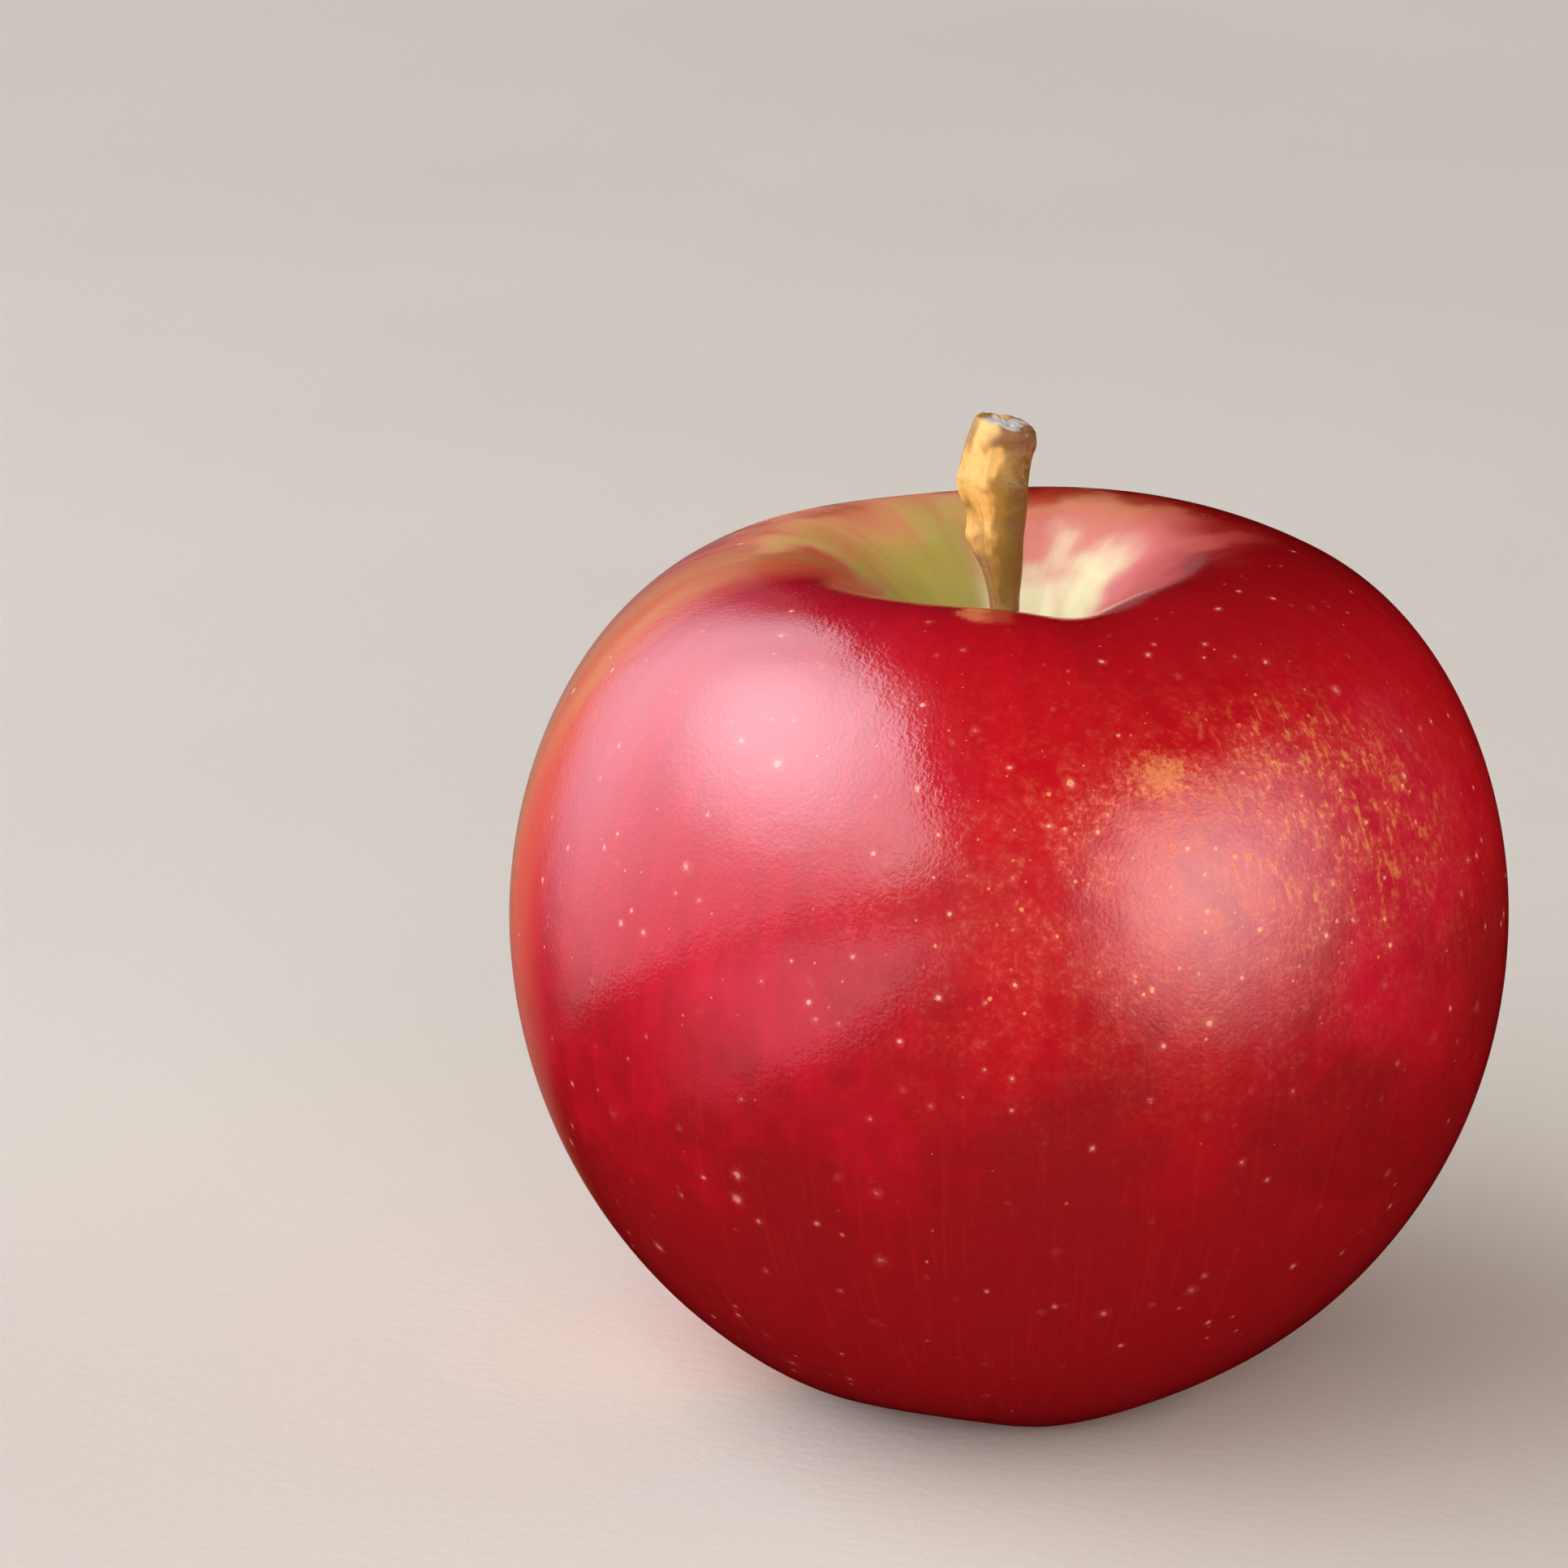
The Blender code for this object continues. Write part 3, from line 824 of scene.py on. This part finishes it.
    corky = n.calc("MAXIMUM", dots, n.calc("MAXIMUM", patch, netting))
    roughness = n.plus(n.ease(corky, 0, 1, 0.12, 0.36), n.ease(clouds, 0.3, 0.7, -0.02, 0.03),
                       n.ease(into_cavity, 0, 1, 0, 0.42))
    pebbles = n.noise(place, MM / sizes.pebble_size, 2, 0.55, 1)
    swell = n.noise(place, 0.35, 1, 0.5, 4)
    height = n.plus(n.times(pebbles, 2 * sizes.pebble_height / MM), n.times(swell, 0.035),
                    n.times(corky, 0.01), n.times(fine["Grain"], 0.004))
    finish_material(n, surface, base, roughness, height, MM)
    return material


def stalk_material(colours):
    """Woody stalk: gold on its left, amber and olive in front, brown on its right, pale pith; the
    gold and the brown are partly painted light and shade.
    """
    material, n, surface = new_material("woody_stalk", 0.5, 0.4)
    place = n.in_millimetres()
    rise = n.attribute("rise")
    around = n.attribute("fibre", "Vector")
    fibre = n.grain(around, 3, 0.15)["Grain"]
    patches = n.noise(place, 0.4, 2, 0.5, 6)
    mottles = n.noise(place, 1.3, 3, 0.6, 12)
    side = n.plus(n.parts(around)[0], n.ease(patches, 0.25, 0.75, -0.35, 0.35))
    low = n.plus(rise, n.ease(patches, 0.25, 0.75, -2, 2))
    torn = n.plus(n.attribute("broken"), n.ease(patches, 0.3, 0.7, -0.3, 0.3))
    # Sides, lighter to the left and darker to the right as partly painted light and shade, then
    # foot, nodules and scars, dark grain, the collar under the end, flecks and pith.
    base = n.coats(
        colours.stalk_ochre,
        (colours.stalk_gold, n.ease(side, -1, -0.6)),
        (colours.stalk_ochre, n.ease(side, -0.25, 0.05)),
        (colours.stalk_olive, n.ease(side, 0, 0.6)),
        (colours.stalk_brown, n.ease(side, 0.45, 0.9)),
        (colours.stalk_olive, n.ease(low, 23, 18.5, 0, 0.75)),
        (colours.stalk_rose, n.ease(low, 16.5, 13, 0, 0.6)),
        (colours.stalk_rose, n.ease(side, -0.3, -0.8), n.ease(low, 22.5, 20.5), 0.7),
        (colours.stalk_rose, n.ease(mottles, 0.44, 0.58), n.ease(side, 0.1, 0.5),
         n.ease(rise, 24, 25.5), 0.55),
        (colours.stalk_brown, n.ease(fibre, 0.5, 0.3, 0, 0.35)),
        (colours.stalk_brown, n.ease(mottles, 0.44, 0.26, 0, 0.28)),
        (colours.stalk_brown, n.ease(low, 27, 29), n.ease(side, -0.6, 0), 0.7),
        (colours.stalk_pith, n.speckle(place, 1.1, 0.15, 0.45)["Dot"], 0.4),
        (colours.stalk_pith, n.ease(torn, 0.3, 0.6)))
    roughness = n.ease(patches, 0.3, 0.7, 0.36, 0.52)
    height = n.plus(n.times(fibre, 0.05), n.times(mottles, 0.09),
                    n.times(n.noise(place, 5, 3), 0.02))
    finish_material(n, surface, base, roughness, height, MM)
    return material


def dry_material(name, brown, pale, fineness):
    """Dried plant tissue: fibres, downy pale patches and small dark flecks."""
    material, n, surface = new_material(name, 0.85, 0.25)
    place = n.in_millimetres()
    fibre = n.grain(n.attribute("fibre", "Vector"), fineness, 0.15)["Grain"]
    down = n.noise(place, 2.2, 4, 0.65, 3)
    base = n.coats(
        brown,
        (pale, n.ease(down, 0.38, 0.68)),
        ([0.5 * part for part in brown], n.ease(fibre, 0.56, 0.42, 0, 0.6)),
        ([0.3 * part for part in brown], n.speckle(place, 0.5, 0.09, 0.5)["Dot"], 0.6))
    height = n.plus(n.times(fibre, 0.12), n.times(down, 0.06))
    finish_material(n, surface, base, n.ease(down, 0.3, 0.7, 0.7, 0.95), height, MM)
    return material


# --- Studio ---

# Height and distance are in millimetres, the elevation in degrees and the small turns in radians.
AIM_HEIGHT = 36.2
CAMERA_DISTANCE = 487.5
CAMERA_ELEVATION = 18
CAMERA_PITCH_UP = 0.02
CAMERA_TURN_LEFT = math.radians(1.966)
CAMERA_LENS = 148.8
CAMERA_SENSOR = 36
# Radii of the floor, in metres, and where it fades into the wall's tone, in millimetres.
FLOOR_RINGS = (0.02, 0.3, 1, 2.4)
FLOOR_FADE = (350, 1000)
STAGE_AROUND = 96
WALL_HEIGHT = 1.8
WALL_GLOW = 0.83
AIR_STRENGTH = 0.18
AIR_TINT = (1, 0.8, 0.64)
ROUND = 2

# Soft panels round the fruit. Directions, elevations and rolls are in degrees, 0 in front and
# positive to its right; sizes are in metres. Each fade is an axis of the panel, where it starts
# and ends, and the shares of the light there. A panel lights what is matt, or shows only in
# what shines.
Panel = namedtuple(
    "Panel", "name direction elevation roll distance width height radiance tint lights fades")
PANELS = (
    Panel("window_shine", -111, 26.5, 26.5, 0.75, 9, 1.34, 2.9, (0.8, 0.9, 1), "shine",
          ((1, 0, 0.6, 0.28, 1), (0, 0.425, 0.49, 0.05, 1))),
    Panel("window_heart", -81, 48.5, -15, 0.75, 1.24, 0.94, 3.8, (0.8, 0.9, 1), "shine",
          ((ROUND, 0.5, 0.05, 0, 1),)),
    Panel("sill_shine", -56, -10, 25, 0.75, 2, 0.4, 1.1, (0.7, 0.8, 1), "shine",
          ((ROUND, 0.5, 0.3, 0, 1), (0, 0.19, 0.8, 0, 1))),
    Panel("window_glow", -76, 33, 12, 1.3, 4.3, 2.1, 1.5, (0.95, 0.97, 1), "matt", ()),
    Panel("ground_glow", -125, -12, 0, 1.3, 1.6, 1, 2.1, (1, 0.92, 0.82), "matt", ()),
    Panel("front_glow", 6, 15, 0, 1.3, 1.1, 1, 2.7, (1, 0.98, 0.95), "matt", ()),
    Panel("side_glow", 100, 2, 0, 1.3, 1.8, 1.6, 1.5, (1, 0.96, 0.9), "matt", ()),
    Panel("reflector_glow", 48, -14, 0, 1.3, 0.9, 0.7, 1.6, (1, 0.96, 0.93), "matt", ()),
    Panel("reflector_shine", 56, 12.5, 21, 1.3, 2.45, 2.4, 7, (1, 0.93, 0.94), "shine",
          ((ROUND, 0.5, 0.02, 0, 1), (1, 0.09, 0.9, 0, 1), (0, 1.24, 0.31, 0, 1))),
)


def from_fruit(direction, elevation):
    """Unit vector from the fruit towards a direction in degrees, 0 in front and 90 to its right."""
    a, e = math.radians(direction), math.radians(elevation)
    return Vector((math.sin(a) * math.cos(e), -math.cos(a) * math.cos(e), math.sin(e)))


def add_panel(panel):
    """A soft elliptical panel that faces the fruit, with its fades."""
    light = bpy.data.lights.new(panel.name, "AREA")
    light.shape = "ELLIPSE"
    light.size = panel.width
    light.size_y = panel.height
    light.color = panel.tint
    light.energy = panel.radiance * panel.width * panel.height * math.pi
    if panel.fades:
        light.use_nodes = True
        n = Nodes(light.node_tree)
        spot = n.add("ShaderNodeNewGeometry").outputs["Parametric"]
        places = [*n.parts(spot)[:2], n.vector("DISTANCE", {0: spot, 1: (0.5, 0.5, 0)}, "Value")]
        faded = [n.ease(places[axis], *rest) for axis, *rest in panel.fades]
        n.give(n.tree.nodes["Emission"].inputs["Strength"], n.times(*faded))
    lamp = bpy.data.objects.new(panel.name, light)
    away = from_fruit(panel.direction, panel.elevation)
    lamp.location = Vector((0, 0, AIM_HEIGHT * MM)) + away * panel.distance
    roll = Quaternion((0, 0, 1), math.radians(panel.roll))
    lamp.rotation_euler = (away.to_track_quat("Z", "Y") @ roll).to_euler()
    lamp.visible_diffuse = panel.lights == "matt"
    lamp.visible_glossy = panel.lights == "shine"
    bpy.context.scene.collection.objects.link(lamp)


def stage_rings(name, sweep, material, centre=False):
    """A surface of revolution for the studio, through pairs of radius and height."""
    turn = np.linspace(0, FULL_TURN, STAGE_AROUND, endpoint=False)
    radius, height = np.hsplit(np.array(sweep, float), 2)
    points = grid(radius * np.cos(turn), radius * np.sin(turn), height).reshape(-1, 3)
    faces = [tuple(reversed(face)) for face in ring_faces(len(sweep), STAGE_AROUND)]
    if centre:
        middle = len(points)
        points = np.concatenate([points, [[0, 0, 0]]])
        faces += [(middle, i, j) for i, j in neighbours(STAGE_AROUND)]
    stage = new_piece(name, points, faces, {}, material)
    stage.visible_glossy = False
    stage.visible_shadow = False
    return stage


def add_floor(colours):
    """A plain pale floor, and a pale wall far round it that only the camera sees."""
    material, n, surface = new_material("studio_floor", 0.8, 0.2)
    place = n.in_millimetres()
    tone = n.noise(place, 0.01, 3)
    far = n.ease(n.vector("LENGTH", {0: place}, "Value"), *FLOOR_FADE)
    base = n.coats(colours.floor_tone, ((1, 1, 1), n.ease(tone, 0.3, 0.7, 0, 0.06)),
                   ((0, 0, 0), far))
    roughness = n.ease(tone, 0.3, 0.7, 0.75, 0.85)
    finish_material(n, surface, base, roughness, n.noise(place, 0.8), 0.05 * MM)
    n.give(surface["Emission Strength"], n.times(far, WALL_GLOW))
    surface["Emission Color"].default_value = (*colours.floor_tone, 1)
    stage_rings("studio_floor", [(radius, 0) for radius in FLOOR_RINGS], material, centre=True)

    material, n, surface = new_material("studio_wall", 0.9, 0)
    surface["Base Color"].default_value = (0, 0, 0, 1)
    surface["Emission Color"].default_value = (*colours.floor_tone, 1)
    surface["Emission Strength"].default_value = WALL_GLOW
    edge = FLOOR_RINGS[-1]
    wall = stage_rings("studio_wall", [(edge, 0), (edge, WALL_HEIGHT)], material)
    wall.visible_diffuse = False


def add_camera():
    """A long lens in front of the fruit and a little above it."""
    data = bpy.data.cameras.new("view_camera")
    data.lens = CAMERA_LENS
    data.sensor_width = CAMERA_SENSOR
    data.clip_start = 0.01
    data.clip_end = 20
    camera = bpy.data.objects.new("view_camera", data)
    away = from_fruit(0, CAMERA_ELEVATION)
    camera.location = Vector((0, 0, AIM_HEIGHT * MM)) + away * CAMERA_DISTANCE * MM
    forward = -away
    right = Vector((1, 0, 0))
    up = right.cross(forward)
    forward = forward * math.cos(CAMERA_PITCH_UP) + up * math.sin(CAMERA_PITCH_UP)
    up = right.cross(forward)
    turned = forward * math.cos(CAMERA_TURN_LEFT) - right * math.sin(CAMERA_TURN_LEFT)
    right = turned.cross(up)
    camera.rotation_euler = Matrix((right, up, -turned)).transposed().to_euler()
    bpy.context.scene.collection.objects.link(camera)
    bpy.context.scene.camera = camera


# --- Operators and panel ---

def place_on_fruit(piece, slot, *nodes):
    """Lets a piece ride with the fruit and stand for CAD nodes, which are hidden. The slot is not
    used.
    """
    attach(piece, "root")
    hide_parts(*nodes)


class APPLE_OT_fruit(bpy.types.Operator):
    """Build the fruit's skin with its stem cavity and calyx basin"""

    bl_idname = "apple.fruit"
    bl_label = "Fruit"

    def execute(self, context):
        piece = build_fruit(context.scene.apple_sizes, context.scene.apple_colours)
        place_on_fruit(piece, "skin", "fruit")
        return {"FINISHED"}


class APPLE_OT_stalk(bpy.types.Operator):
    """Build the swollen, broken-off stalk"""

    bl_idname = "apple.stalk"
    bl_label = "Stalk"

    def execute(self, context):
        piece = build_stalk(context.scene.apple_colours)
        place_on_fruit(piece, "stalk", "stem")
        return {"FINISHED"}


class APPLE_OT_sepals(bpy.types.Operator):
    """Build the five dried sepals of the calyx"""

    bl_idname = "apple.sepals"
    bl_label = "Sepals"

    def execute(self, context):
        colours = context.scene.apple_colours
        material = dry_material("dry_sepal", colours.calyx_brown, colours.calyx_grey, 6)
        for index, node in enumerate(SEPAL_NODES):
            piece = build_sepal(index, context.scene.apple_sizes, material)
            place_on_fruit(piece, "dry_sepal", node)
        return {"FINISHED"}


class APPLE_OT_stamens(bpy.types.Operator):
    """Build the tuft of dried stamens inside the calyx"""

    bl_idname = "apple.stamens"
    bl_label = "Stamens"

    def execute(self, context):
        piece = build_stamens(context.scene.apple_sizes, context.scene.apple_colours)
        place_on_fruit(piece, "dry_stamen", "stamen_tuft")
        return {"FINISHED"}


class APPLE_OT_studio(bpy.types.Operator):
    """Set up the floor, the soft panels and the camera"""

    bl_idname = "apple.studio"
    bl_label = "Studio"

    def execute(self, context):
        add_floor(context.scene.apple_colours)
        for panel in PANELS:
            add_panel(panel)
        world = bpy.data.worlds.new("studio_air")
        context.scene.world = world
        world.use_nodes = True
        air = world.node_tree.nodes["Background"]
        air.inputs["Color"].default_value = (*AIR_TINT, 1)
        air.inputs["Strength"].default_value = AIR_STRENGTH
        world.cycles_visibility.glossy = False
        context.scene.view_settings.view_transform = "Standard"
        add_camera()
        return {"FINISHED"}


class APPLE_PT_panel(bpy.types.Panel):
    """Lists the steps that finish the apple"""

    bl_idname = "APPLE_PT_panel"
    bl_label = "Apple"
    bl_space_type = "VIEW_3D"
    bl_region_type = "UI"
    bl_category = "Apple"

    def draw(self, context):
        for step in STEPS:
            self.layout.operator(step.bl_idname)
        for group in (context.scene.apple_sizes, context.scene.apple_colours):
            box = self.layout.box()
            for key in group.bl_rna.properties.keys():
                if key not in ("rna_type", "name"):
                    box.prop(group, key)


STEPS = (APPLE_OT_fruit, APPLE_OT_stalk, APPLE_OT_sepals, APPLE_OT_stamens, APPLE_OT_studio)
CLASSES = (AppleSizes, AppleColours, *STEPS, APPLE_PT_panel)


def register():
    for cls in CLASSES:
        bpy.utils.register_class(cls)
    bpy.types.Scene.apple_sizes = PointerProperty(type=AppleSizes)
    bpy.types.Scene.apple_colours = PointerProperty(type=AppleColours)


def unregister():
    del bpy.types.Scene.apple_colours
    del bpy.types.Scene.apple_sizes
    for cls in reversed(CLASSES):
        bpy.utils.unregister_class(cls)


def main():
    """Registers the add-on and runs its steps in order."""
    register()
    bpy.ops.apple.fruit()
    bpy.ops.apple.stalk()
    bpy.ops.apple.sepals()
    bpy.ops.apple.stamens()
    bpy.ops.apple.studio()


if __name__ == "__main__":
    main()
